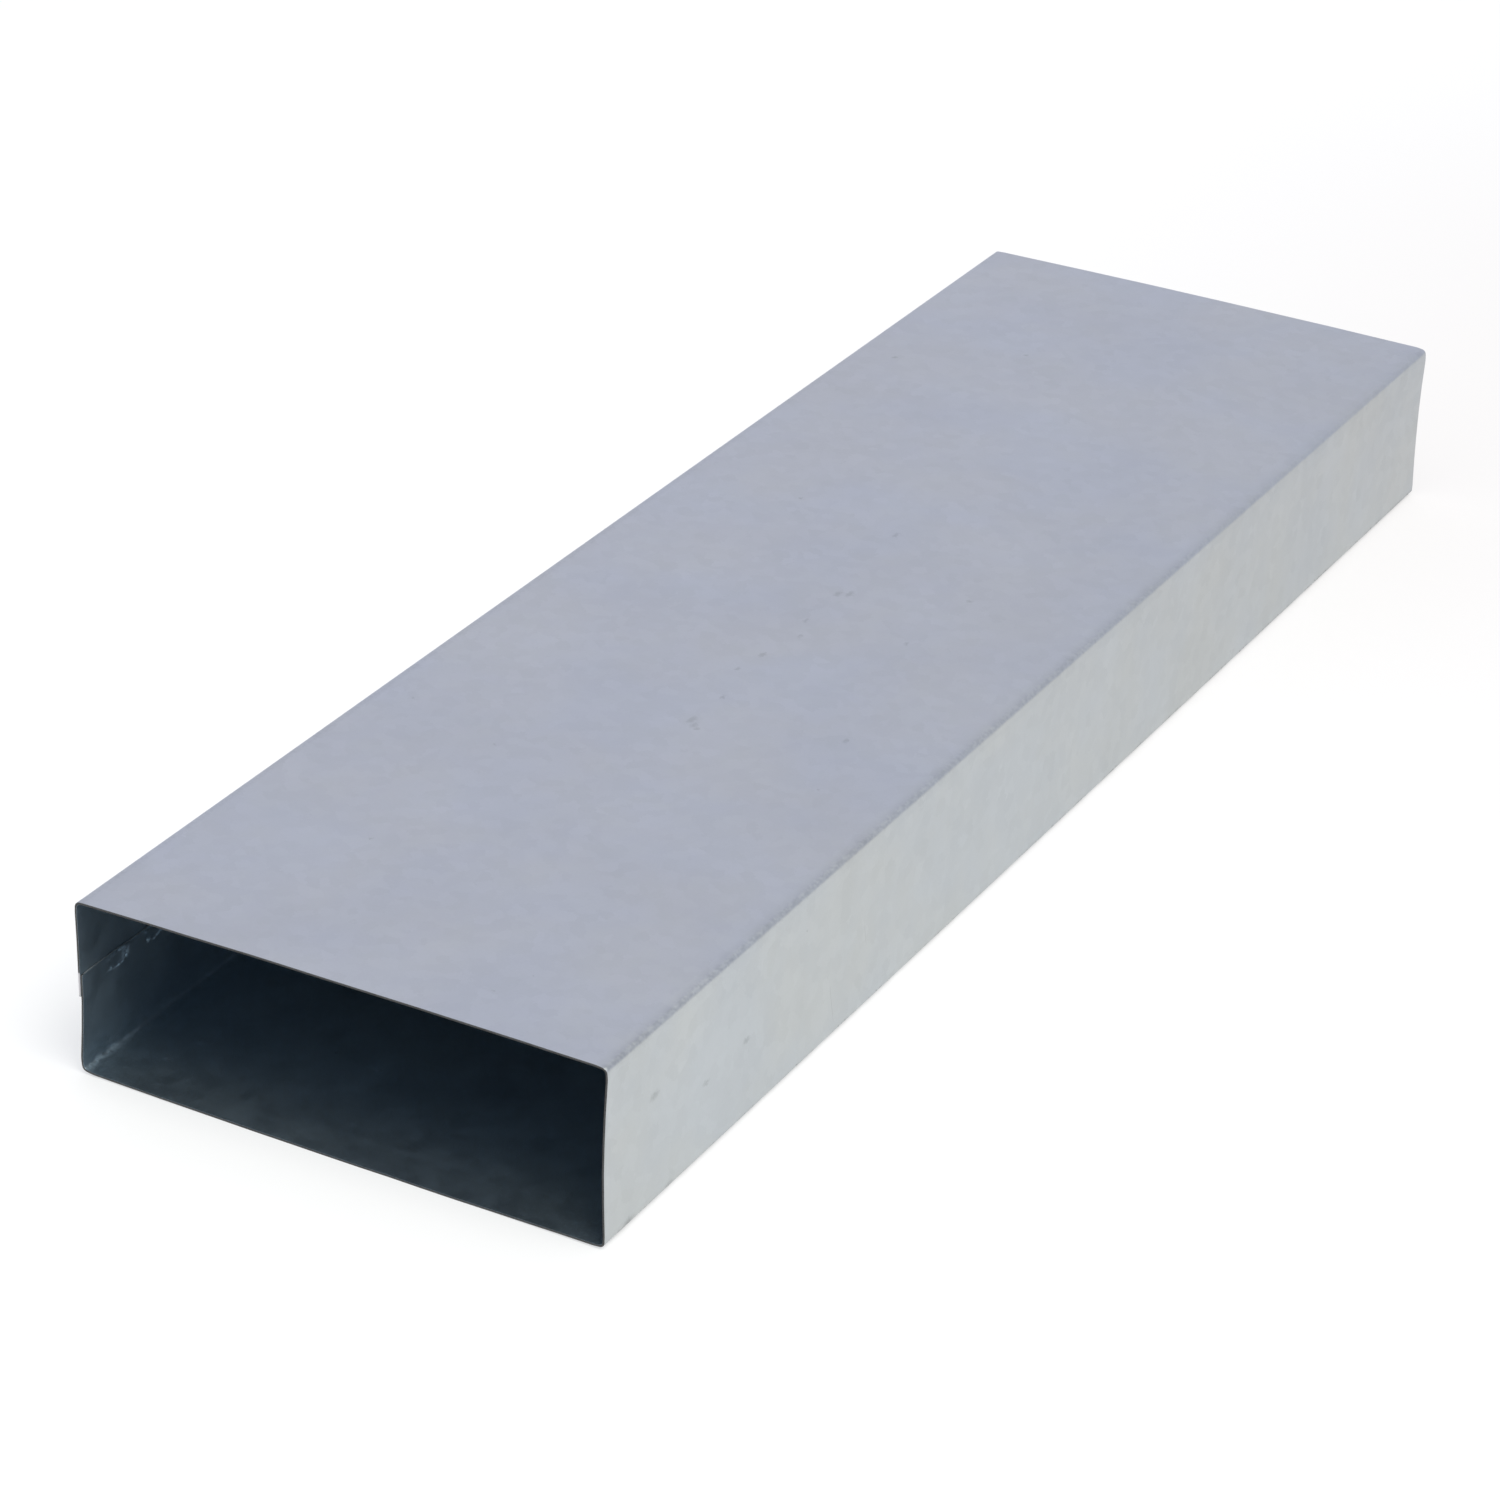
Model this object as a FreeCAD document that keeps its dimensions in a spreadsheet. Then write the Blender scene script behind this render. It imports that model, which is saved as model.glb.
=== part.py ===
import FreeCAD, Part
import Sketcher
import math
import os

# Flat ventilation duct: one strip of galvanised sheet folded at four bends into a closed rectangle.
# The strip's two long edges lap in the middle of the left wall, where a row of spot welds holds them.
# X is the width, Y the length and Z is up. The origin is at the middle of the underside.

# Name, millimetres, and what it measures
DRIVING_DIMENSIONS = (
    ("duct_width", 150.0, "over the outside of the two narrow walls"),
    ("duct_height", 50.0, "over the outside of the two wide walls"),
    ("duct_length", 500.0, "from mouth to mouth"),
    ("sheet_gauge", 0.6, "thickness of the sheet"),
    ("bend_radius", 1.0, "inside radius of the four bends"),
    ("seam_height", 25.4, "from the underside to the middle of the lap"),
    ("lap_width", 7.2, "how far the two flaps overlap"),
    ("lap_gap", 0.1, "air between the two flaps"),
    ("weld_diameter", 4.0, "of a weld nugget"),
    ("weld_pitch", 15.0, "wanted spacing of the welds, evened out over the length"),
    ("weld_margin", 15.0, "from each mouth to the nearest weld"),
)

# How a sketch counts the points of a line or an arc, and its own axes
START_POINT, END_POINT, CENTRE_POINT = range(1, 4)
HORIZONTAL_AXIS = -1
ORIGIN = (HORIZONTAL_AXIS, START_POINT)


def make_sheet(doc):
    sheet = doc.addObject("Spreadsheet::Sheet", "Dimensions")
    for row, (alias, value, meaning) in enumerate(DRIVING_DIMENSIONS, start=1):
        sheet.set(f"A{row}", alias)
        sheet.set(f"B{row}", str(value))
        sheet.set(f"C{row}", meaning)
        sheet.setAlias(f"B{row}", alias)
    doc.recompute()
    return sheet


def attach(sketch, body, role):
    plane = next(feature for feature in body.Origin.OriginFeatures if feature.Role == role)
    sketch.AttachmentSupport = [(plane, "")]
    sketch.MapMode = "FlatFace"


def drive(sketch, name, formula, kind, *places):
    # A dimension of the sketch that follows the spreadsheet
    value = float(sketch.evalExpression(formula))
    index = sketch.addConstraint(Sketcher.Constraint(kind, *places, value))
    sketch.renameConstraint(index, name)
    sketch.setExpression(f"Constraints.{name}", formula)


def draw_face(sketch, bends, radius, top_of_inner_flap, foot_of_outer_flap):
    # One face of the strip, from the inner flap's edge round the four bends to the outer flap's edge.
    # Each bend is a quarter turn about its centre, and a straight wall runs up to it and on from it.
    walls = []
    arcs = []
    reached = FreeCAD.Vector(bends[0].x - radius, top_of_inner_flap, 0)
    for centre, first_angle in zip(bends, (180, 270, 0, 90)):
        circle = Part.Circle(centre, FreeCAD.Vector(0, 0, 1), radius)
        arc = Part.ArcOfCircle(circle, math.radians(first_angle), math.radians(first_angle + 90))
        walls.append(sketch.addGeometry(Part.LineSegment(reached, arc.StartPoint)))
        arcs.append(sketch.addGeometry(arc))
        reached = arc.EndPoint
    flap_edge = FreeCAD.Vector(reached.x, foot_of_outer_flap, 0)
    walls.append(sketch.addGeometry(Part.LineSegment(reached, flap_edge)))

    for before, arc, after in zip(walls, arcs, walls[1:]):
        sketch.addConstraint(Sketcher.Constraint("Tangent", before, END_POINT, arc, START_POINT))
        sketch.addConstraint(Sketcher.Constraint("Tangent", arc, END_POINT, after, START_POINT))
    for wall, direction in zip(walls, ("Vertical", "Horizontal", "Vertical", "Horizontal", "Vertical")):
        sketch.addConstraint(Sketcher.Constraint(direction, wall))
    return walls, arcs


def draw_cut_edge(sketch, outside_wall, inside_wall, point):
    # The sheet's own thickness, seen at the edge of a flap
    start = sketch.getPoint(outside_wall, point)
    end = sketch.getPoint(inside_wall, point)
    edge = sketch.addGeometry(Part.LineSegment(start, end))
    sketch.addConstraint(Sketcher.Constraint("Coincident", edge, START_POINT, outside_wall, point))
    sketch.addConstraint(Sketcher.Constraint("Coincident", edge, END_POINT, inside_wall, point))
    sketch.addConstraint(Sketcher.Constraint("Horizontal", edge))
    return edge


def make_section(body, sheet):
    # The folded strip seen from its front mouth, drawn near its size and then held by its dimensions
    section = body.newObject("Sketcher::SketchObject", "StripSection")
    attach(section, body, "XZ_Plane")

    half_width = sheet.duct_width / 2
    outside_radius = sheet.bend_radius + sheet.sheet_gauge
    inner_flap_x = -half_width + sheet.sheet_gauge + sheet.lap_gap
    high = sheet.duct_height - outside_radius
    bends = [
        FreeCAD.Vector(inner_flap_x + outside_radius, outside_radius, 0),
        FreeCAD.Vector(half_width - outside_radius, outside_radius, 0),
        FreeCAD.Vector(half_width - outside_radius, high, 0),
        FreeCAD.Vector(-half_width + outside_radius, high, 0),
    ]
    flap_ends = (sheet.seam_height + sheet.lap_width / 2, sheet.seam_height - sheet.lap_width / 2)
    outside, outside_arcs = draw_face(section, bends, outside_radius, *flap_ends)
    inside, inside_arcs = draw_face(section, bends, sheet.bend_radius, *flap_ends)
    draw_cut_edge(section, outside[0], inside[0], START_POINT)
    outer_flap_edge = draw_cut_edge(section, outside[-1], inside[-1], END_POINT)

    for outer, inner in zip(outside_arcs, inside_arcs):
        section.addConstraint(Sketcher.Constraint("Coincident", outer, CENTRE_POINT, inner, CENTRE_POINT))
    for arc in inside_arcs[1:]:
        section.addConstraint(Sketcher.Constraint("Equal", inside_arcs[0], arc))

    inner_flap_top = (outside[0], START_POINT)
    outer_flap_foot = (outside[-1], END_POINT)
    right_wall = (outside[2], END_POINT)
    underside = (outside[1], START_POINT)
    roof = (outside[3], START_POINT)
    section.addConstraint(Sketcher.Constraint("PointOnObject", *underside, HORIZONTAL_AXIS))
    drive(section, "bend", "Dimensions.bend_radius", "Radius", inside_arcs[0])
    drive(section, "gauge", "Dimensions.sheet_gauge", "DistanceX",
          outer_flap_edge, START_POINT, outer_flap_edge, END_POINT)
    drive(section, "width", "Dimensions.duct_width", "DistanceX", *outer_flap_foot, *right_wall)
    drive(section, "half_width", "Dimensions.duct_width / 2", "DistanceX", *ORIGIN, *right_wall)
    drive(section, "height", "Dimensions.duct_height", "DistanceY", *underside, *roof)
    drive(section, "gap", "Dimensions.lap_gap", "DistanceX", inside[-1], END_POINT, *inner_flap_top)
    drive(section, "inner_flap", "Dimensions.seam_height + Dimensions.lap_width / 2",
          "DistanceY", *ORIGIN, *inner_flap_top)
    drive(section, "outer_flap", "Dimensions.seam_height - Dimensions.lap_width / 2",
          "DistanceY", *ORIGIN, *outer_flap_foot)
    return section


def make_weld_spot(body, sheet):
    # One weld nugget, drawn at the front end of the lap, half-way through the outer flap
    spot = body.newObject("Sketcher::SketchObject", "WeldSpot")
    attach(spot, body, "YZ_Plane")
    spot.setExpression("AttachmentOffset.Base.z", "(Dimensions.sheet_gauge - Dimensions.duct_width) / 2")
    middle = FreeCAD.Vector(sheet.weld_margin - sheet.duct_length / 2, sheet.seam_height, 0)
    circle = Part.Circle(middle, FreeCAD.Vector(0, 0, 1), sheet.weld_diameter / 2)
    nugget = spot.addGeometry(circle)
    drive(spot, "diameter", "Dimensions.weld_diameter", "Diameter", nugget)
    drive(spot, "from_middle", "Dimensions.duct_length / 2 - Dimensions.weld_margin",
          "DistanceX", nugget, CENTRE_POINT, *ORIGIN)
    drive(spot, "from_underside", "Dimensions.seam_height", "DistanceY", *ORIGIN, nugget, CENTRE_POINT)
    return spot


def make_duct(doc, sheet):
    body = doc.addObject("PartDesign::Body", "ChannelDuct")
    body.Label = "channel_duct"

    folded_strip = body.newObject("PartDesign::Pad", "FoldedStrip")
    folded_strip.Profile = make_section(body, sheet)
    folded_strip.SideType = "Symmetric"
    folded_strip.setExpression("Length", "Dimensions.duct_length")
    doc.recompute()

    first_weld = body.newObject("PartDesign::Pad", "FirstWeld")
    first_weld.Profile = make_weld_spot(body, sheet)
    first_weld.setExpression("Length", "Dimensions.sheet_gauge + Dimensions.lap_gap")
    doc.recompute()

    weld_row = body.newObject("PartDesign::LinearPattern", "WeldRow")
    weld_row.Originals = [first_weld]
    weld_row.Direction = (first_weld.Profile[0], ["H_Axis"])
    weld_row.setExpression("Length", "Dimensions.duct_length - 2 * Dimensions.weld_margin")
    weld_row.setExpression("Occurrences", "round((Dimensions.duct_length - 2 * Dimensions.weld_margin)"
                           " / Dimensions.weld_pitch) + 1")
    body.Tip = weld_row
    doc.recompute()
    return body


def check(doc, body):
    for item in doc.Objects:
        if "Invalid" in item.State or "Error" in item.State:
            raise RuntimeError(f"{item.Label} failed: {item.State}")
    if body.Shape.isNull() or not body.Shape.isValid():
        raise RuntimeError(f"{body.Label} has no valid shape")
    if len(body.Shape.Solids) != 1:
        raise RuntimeError(f"{body.Label} is {len(body.Shape.Solids)} solids, not one")


def main():
    doc = FreeCAD.newDocument("flat_channel_duct")
    sheet = make_sheet(doc)
    duct = make_duct(doc, sheet)
    check(doc, duct)
    os.makedirs("parts", exist_ok=True)
    duct.Shape.exportStep(os.path.join("parts", f"{duct.Label}.step"))
    box = duct.Shape.BoundBox
    print(f"{duct.Label}: {box.XLength:.2f} x {box.YLength:.2f} x {box.ZLength:.2f} mm,"
          f" {duct.Shape.Volume:.1f} mm3")


main()
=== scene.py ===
import bpy
import math
from mathutils import Matrix, Vector


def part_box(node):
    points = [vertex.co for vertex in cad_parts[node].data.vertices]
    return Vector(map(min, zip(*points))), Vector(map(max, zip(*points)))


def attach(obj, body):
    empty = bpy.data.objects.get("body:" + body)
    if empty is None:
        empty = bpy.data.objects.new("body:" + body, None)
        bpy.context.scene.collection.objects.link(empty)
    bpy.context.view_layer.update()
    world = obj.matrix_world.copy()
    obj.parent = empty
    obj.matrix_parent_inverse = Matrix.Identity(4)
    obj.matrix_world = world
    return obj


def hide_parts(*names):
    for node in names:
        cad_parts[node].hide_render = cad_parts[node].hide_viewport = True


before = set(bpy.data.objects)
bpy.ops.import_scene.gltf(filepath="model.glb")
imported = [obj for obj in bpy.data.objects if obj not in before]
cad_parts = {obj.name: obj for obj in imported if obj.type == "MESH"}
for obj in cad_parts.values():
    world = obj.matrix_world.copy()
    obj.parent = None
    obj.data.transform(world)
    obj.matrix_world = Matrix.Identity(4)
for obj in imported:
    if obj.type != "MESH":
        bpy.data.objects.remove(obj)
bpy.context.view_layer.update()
scene = bpy.context.scene

# Flat channel duct: one strip of galvanised sheet, folded into a box, lapped and spot welded.
# Metres throughout, in the frame's own axes: X width, Y length, Z up, front mouth at -Y.

duct = {
    "name": "folded_sheet",
    "node": "channel_duct",
    "slot": "galvanised_sheet",
    "body": "root",
    "gauge": 0.0006,            # sheet thickness
    "bend radius": 0.0010,      # inside of the four folds
    "bend steps": 6,
    "lead": 0.0030,             # the walls start to curve this far from a fold's corner
    "left foot cut": 0.00050,   # how far that draws each corner in
    "right foot cut": 0.00020,
    "right roof cut": 0.00040,
    "left roof cut": 0.00015,
    "lead radius": 0.0140,      # how softly they start
    "lead steps": 3,
    "seam height": 0.0254,      # middle of the lap, above the underside
    "lap": 0.0072,              # how far the flaps overlap
    "lap gap": 0.0001,
    "wall step": 0.010,         # mesh spacing across the walls
    "lap step": 0.0006,         # mesh spacing across the lap
    "lap border": 0.0016,       # fine mesh kept beyond the lap
    "stations": 331,            # mesh rows along the duct
    "station pull": 0.68,       # crowds the mesh rows round the welds
    "station still": 0.0005,    # rows this near a mouth stay put
    "station free": 0.008,      # rows this far from a mouth are pulled fully
    "merge distance": 0.000001,  # closes the seams between the grids
    "weld count": 32,
    "weld margin": 0.015,       # first weld from the mouth
    "weld length": 0.0036,      # half sizes of one weld mark
    "weld height": 0.0022,
    "weld growth": 0.14,        # how much the marks differ in size
    "weld depth": 0.00013,      # of its dish
    "weld dish": 0.62,          # share of a mark's half size that is at full depth
    "weld rim": 0.00007,        # height of the ridge round it
    "weld rim start": 0.86,     # also shares of its half size
    "weld rim top": 1.08,
    "weld rim end": 1.42,
    "weld drift": 0.0007,       # how far a mark strays along the lap, and half as far across it
    "weld rise": 0.0010,        # marks sit above the middle of the lap
    "roof crown front": 0.00050,  # corners of the roof stand below its middle
    "roof crown rear": 0.00050,
    "roof tilt front": 0.00050,   # right corner of the roof stands above its middle, left one below
    "roof tilt rear": 0.0,
    "floor crown front": 0.00060,  # corners of the underside stand above its middle
    "floor crown rear": 0.00025,
    "right bow front": 0.00075,   # middles of the sides stand in
    "right bow rear": 0.00065,
    "left bow front": 0.00020,
    "left bow rear": 0.00030,
    "foot flare": 0.00070,        # the inner flap's wall leans out to its fold
    "ripple": 0.00010,          # slow waviness of the walls
    "ripple scale": 16.0,
    "cut wander": 0.00020,      # unevenness of the sheared mouths
    "cut reach": 0.006,         # how far in from a mouth it fades out
    "flap wander": 0.00035,     # unevenness of the flaps' long edges
    "flap reach": 0.0025,
    "wander scale": 70.0,
    "seed": 7,
    "edge round": 0.00010,      # worn corner of the cut edges
    "edge steps": 2,
    "edge angle": 50.0,         # only corners sharper than this are worn
}


def plug(tree, value, socket):
    if isinstance(value, bpy.types.NodeSocket):
        tree.links.new(value, socket)
    else:
        socket.default_value = value


def addNode(tree, kind, inputs=None, **settings):
    node = tree.nodes.new(kind)
    for name, value in settings.items():
        setattr(node, name, value)
    for name, value in (inputs or {}).items():
        plug(tree, value, node.inputs[name])
    return node


def calc(tree, operation, *terms):
    node = addNode(tree, "ShaderNodeMath", operation=operation)
    for socket, term in zip(node.inputs, terms):
        plug(tree, term, socket)
    return node.outputs[0]


def total(tree, *terms):
    result = terms[0]
    for term in terms[1:]:
        result = calc(tree, "ADD", result, term)
    return result


def product(tree, *terms):
    result = terms[0]
    for term in terms[1:]:
        result = calc(tree, "MULTIPLY", result, term)
    return result


def minus(tree, first, second):
    return calc(tree, "SUBTRACT", first, second)


def halfOf(tree, value):
    return product(tree, value, 0.5)


def ramp(tree, value, start, end, low=0.0, high=1.0):  # eased from low at start to high at end
    inputs = {"Value": value, "From Min": start, "From Max": end, "To Min": low, "To Max": high}
    return addNode(tree, "ShaderNodeMapRange", inputs, interpolation_type="SMOOTHSTEP").outputs[0]


def vectorOf(tree, x, y, z):
    return addNode(tree, "ShaderNodeCombineXYZ", {"X": x, "Y": y, "Z": z}).outputs[0]


def combine(tree, operation, first, second, output="Vector"):
    node = addNode(tree, "ShaderNodeVectorMath", operation=operation)
    plug(tree, first, node.inputs[0])
    plug(tree, second, node.inputs[1])
    return node.outputs[output]


def partsOf(tree, vector):
    return addNode(tree, "ShaderNodeSeparateXYZ", {"Vector": vector}).outputs


def noiseNode(tree, vector, scale, detail):
    return addNode(tree, "ShaderNodeTexNoise", {"Vector": vector, "Scale": scale, "Detail": detail})


def noiseOf(tree, vector, scale, detail=2.0):
    return noiseNode(tree, vector, scale, detail).outputs[0]


def stored(tree, geometry, name, value, kind, domain):  # the geometry with one more attribute
    inputs = {"Geometry": geometry, "Name": name, "Value": value}
    node = addNode(tree, "GeometryNodeStoreNamedAttribute", inputs, data_type=kind, domain=domain)
    return node.outputs[0]


def inputSockets(tree, sizes):  # one named input for each size, set later by its identifier
    kinds = {int: "NodeSocketInt", float: "NodeSocketFloat", bpy.types.Material: "NodeSocketMaterial"}
    identifiers = {}
    for name, value in sizes.items():
        kind = next(socketKind for valueKind, socketKind in kinds.items() if isinstance(value, valueKind))
        identifiers[name] = tree.interface.new_socket(name, in_out="INPUT", socket_type=kind).identifier
    tree.interface.new_socket("Geometry", in_out="OUTPUT", socket_type="NodeSocketGeometry")
    return identifiers


def flapEdges(tree, size):  # heights of the inner flap's top and the outer flap's foot
    reach = halfOf(tree, size["lap"])
    return total(tree, size["seam height"], reach), minus(tree, size["seam height"], reach)


def stripPath(tree, size):
    # the sheet's middle line in section, from the inner flap's edge
    # round the four folds to the outer flap's edge
    half = halfOf(tree, size["gauge"])
    rightX = minus(tree, halfOf(tree, size["width"]), half)
    outerX = product(tree, rightX, -1.0)
    innerX = total(tree, outerX, size["gauge"], size["lap gap"])
    roofZ = minus(tree, size["height"], half)
    flapTop, flapFoot = flapEdges(tree, size)
    fineTop = total(tree, flapTop, size["lap border"])
    fineFoot = minus(tree, flapFoot, size["lap border"])
    lead = size["lead"]
    folds = [(innerX, half, 1, 1, "left foot cut"), (rightX, half, -1, 1, "right foot cut"),
             (rightX, roofZ, -1, -1, "right roof cut"), (outerX, roofZ, 1, -1, "left roof cut")]
    corners = [(innerX, flapTop), (innerX, fineFoot)]
    for x, z, right, up, name in folds:
        cut = size[name]
        beside = (calc(tree, "MULTIPLY_ADD", lead, right, x), z)
        middle = (calc(tree, "MULTIPLY_ADD", cut, right, x), calc(tree, "MULTIPLY_ADD", cut, up, z))
        above = (x, calc(tree, "MULTIPLY_ADD", lead, up, z))
        corners += [above, middle, beside] if right == up else [beside, middle, above]
    corners += [(outerX, fineTop), (outerX, flapFoot)]
    firstLead, lastLead = 2, len(corners) - 3

    index = addNode(tree, "GeometryNodeInputIndex").outputs[0]
    pick = addNode(tree, "GeometryNodeIndexSwitch", data_type="VECTOR")
    while len(pick.index_switch_items) < len(corners):
        pick.index_switch_items.new()
    plug(tree, index, pick.inputs["Index"])
    for number, (x, z) in enumerate(corners):
        plug(tree, vectorOf(tree, x, 0.0, z), pick.inputs[str(number)])
    line = addNode(tree, "GeometryNodeMeshLine", {"Count": len(corners)})
    placed = addNode(tree, "GeometryNodeSetPosition",
                     {"Geometry": line.outputs[0], "Position": pick.outputs[0]})
    curve = addNode(tree, "GeometryNodeMeshToCurve", {"Mesh": placed.outputs[0]})

    # every third corner is a fold, and the two beside it are its leads
    isRound = product(tree, calc(tree, "GREATER_THAN", index, firstLead - 0.5),
                      calc(tree, "LESS_THAN", index, lastLead + 0.5))
    isFold = calc(tree, "LESS_THAN", calc(tree, "MODULO", index, 3.0), 0.5)
    isLead = minus(tree, 1.0, isFold)

    def either(atFold, atLead):
        return total(tree, product(tree, isFold, atFold), product(tree, isLead, atLead))

    middleRadius = total(tree, size["bend radius"], half)
    radius = product(tree, either(middleRadius, size["lead radius"]), isRound)
    steps = either(size["bend steps"], size["lead steps"])
    folded = addNode(tree, "GeometryNodeFilletCurve",
                     {"Curve": curve.outputs[0], "Count": steps, "Radius": radius}, mode="POLY")

    # long stretches get more points, finely in the lap and coarsely in the walls
    here = addNode(tree, "GeometryNodeInputPosition").outputs[0]
    following = addNode(tree, "GeometryNodeOffsetPointInCurve", {"Point Index": index, "Offset": 1})
    there = addNode(tree, "GeometryNodeFieldAtIndex",
                    {"Index": following.outputs["Point Index"], "Value": here}, data_type="FLOAT_VECTOR")
    gap = combine(tree, "DISTANCE", here, there.outputs[0], output="Value")
    ends = addNode(tree, "GeometryNodeCurveEndpointSelection", {"Start Size": 1, "End Size": 2})
    step = addNode(tree, "GeometryNodeSwitch", {"Switch": ends.outputs[0], "False": size["wall step"],
                                                "True": size["lap step"]}, input_type="FLOAT")
    cuts = calc(tree, "FLOOR", calc(tree, "DIVIDE", gap, step.outputs[0]))
    return addNode(tree, "GeometryNodeSubdivideCurve",
                   {"Curve": folded.outputs[0], "Cuts": cuts}).outputs[0]


def weldRow(tree, size):  # from the duct's middle to its last weld, and from weld to weld
    reach = minus(tree, halfOf(tree, size["length"]), size["weld margin"])
    gaps = minus(tree, size["weld count"], 1.0)
    return reach, calc(tree, "DIVIDE", product(tree, reach, 2.0), gaps)


def weldMarks(tree, size, y, z):
    # how deep in a weld mark a point lies: 1 in its dish, and how near its raised rim
    reach, pitch = weldRow(tree, size)
    number = calc(tree, "ROUND", calc(tree, "DIVIDE", total(tree, y, reach), pitch))
    last = minus(tree, size["weld count"], 1.0)
    number = calc(tree, "MINIMUM", calc(tree, "MAXIMUM", number, 0.0), last)
    middleY = minus(tree, product(tree, number, pitch), reach)
    stray = addNode(tree, "FunctionNodeRandomValue", {"ID": number, "Seed": size["seed"]},
                    data_type="FLOAT_VECTOR")
    plug(tree, (-1.0, -1.0, -1.0), stray.inputs["Min"])
    strayY, strayZ, straySize = partsOf(tree, stray.outputs["Value"])
    growth = total(tree, product(tree, straySize, size["weld growth"]), 1.0)
    alongY = minus(tree, minus(tree, y, middleY), product(tree, strayY, size["weld drift"]))
    climb = halfOf(tree, product(tree, strayZ, size["weld drift"]))
    alongZ = minus(tree, z, total(tree, size["seam height"], size["weld rise"], climb))
    shareY = calc(tree, "DIVIDE", alongY, product(tree, size["weld length"], growth))
    shareZ = calc(tree, "DIVIDE", alongZ, product(tree, size["weld height"], growth))
    away = calc(tree, "SQRT", total(tree, product(tree, shareY, shareY), product(tree, shareZ, shareZ)))
    dish = ramp(tree, away, 1.0, size["weld dish"])
    rim = product(tree, ramp(tree, away, size["weld rim start"], size["weld rim top"]),
                  ramp(tree, away, size["weld rim end"], size["weld rim top"]))
    return dish, rim


def foldStations(tree, size, y):
    # mesh rows crowd towards the welds and stay put at the two mouths
    reach, pitch = weldRow(tree, size)
    turn = calc(tree, "DIVIDE", product(tree, total(tree, y, reach), math.tau), pitch)
    swell = calc(tree, "DIVIDE", pitch, math.tau)
    pull = product(tree, calc(tree, "SINE", turn), swell, size["station pull"])
    fromMouth = minus(tree, halfOf(tree, size["length"]), calc(tree, "ABSOLUTE", y))
    freed = ramp(tree, fromMouth, size["station still"], size["station free"])
    return minus(tree, y, product(tree, pull, freed))


def cutWander(tree, size, middle, innerFlap, leftWall):
    # the shears and the slitter don't cut quite straight: both mouths and both flap edges waver inwards
    _, y, z = partsOf(tree, middle)
    noiseLow, noiseHigh = 0.25, 0.75  # nearly all of a noise lies between these
    uneven = ramp(tree, noiseOf(tree, middle, size["wander scale"]), noiseLow, noiseHigh)
    mouth = halfOf(tree, size["length"])
    nearMouth = ramp(tree, calc(tree, "ABSOLUTE", y), minus(tree, mouth, size["cut reach"]), mouth)
    moveY = product(tree, calc(tree, "SIGN", y), nearMouth, uneven, size["cut wander"], -1.0)
    flapTop, flapFoot = flapEdges(tree, size)
    nearTop = ramp(tree, z, minus(tree, flapTop, size["flap reach"]), flapTop)
    nearFoot = ramp(tree, z, total(tree, flapFoot, size["flap reach"]), flapFoot)
    outerFlap = minus(tree, leftWall, innerFlap)
    pull = minus(tree, product(tree, nearFoot, outerFlap), product(tree, nearTop, innerFlap))
    return vectorOf(tree, 0.0, moveY, product(tree, pull, uneven, size["flap wander"]))


def wallShape(tree, size, position):
    # the sheet's own unevenness: crowned roof and floor, bowed sides, slow ripple
    x, y, z = partsOf(tree, position)
    across = calc(tree, "DIVIDE", product(tree, x, 2.0), size["width"])  # -1 to 1
    acrossSquare = product(tree, across, across)
    rise = calc(tree, "DIVIDE", z, size["height"])
    sink = minus(tree, 1.0, rise)
    back = total(tree, calc(tree, "DIVIDE", y, size["length"]), 0.5)

    def along(front, rear):
        return total(tree, size[front], product(tree, back, minus(tree, size[rear], size[front])))

    onRight = calc(tree, "GREATER_THAN", x, 0.0)
    onLeft = minus(tree, 1.0, onRight)
    bow = total(tree, product(tree, onRight, along("right bow front", "right bow rear")),
                product(tree, onLeft, along("left bow front", "left bow rear")))
    hollow = product(tree, rise, sink, 4.0)  # 1 at half height
    faceX = product(tree, hollow, across, acrossSquare)
    _, flapFoot = flapEdges(tree, size)
    flare = product(tree, size["foot flare"], ramp(tree, z, flapFoot, 0.0), ramp(tree, across, 0.0, -1.0))
    crown = along("roof crown front", "roof crown rear")
    tilt = along("roof tilt front", "roof tilt rear")
    # the tilted crown's own highest line stays at full height
    roofTop = calc(tree, "DIVIDE", product(tree, tilt, tilt, 0.25), crown)
    slope = minus(tree, product(tree, crown, acrossSquare), product(tree, tilt, across))
    roofDrop = product(tree, total(tree, slope, roofTop), rise)
    floorLift = product(tree, along("floor crown front", "floor crown rear"), sink, acrossSquare)
    wave = noiseOf(tree, position, size["ripple scale"], 1.0)
    sway = product(tree, minus(tree, wave, 0.5), size["ripple"])
    faceZ = product(tree, minus(tree, 1.0, acrossSquare), minus(tree, rise, 0.5), -2.0)
    moveX = minus(tree, product(tree, faceX, minus(tree, sway, bow)), flare)
    swell = product(tree, faceZ, calc(tree, "ABSOLUTE", sway))
    moveZ = total(tree, minus(tree, floorLift, roofDrop), swell)
    return vectorOf(tree, moveX, 0.0, moveZ)


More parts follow.
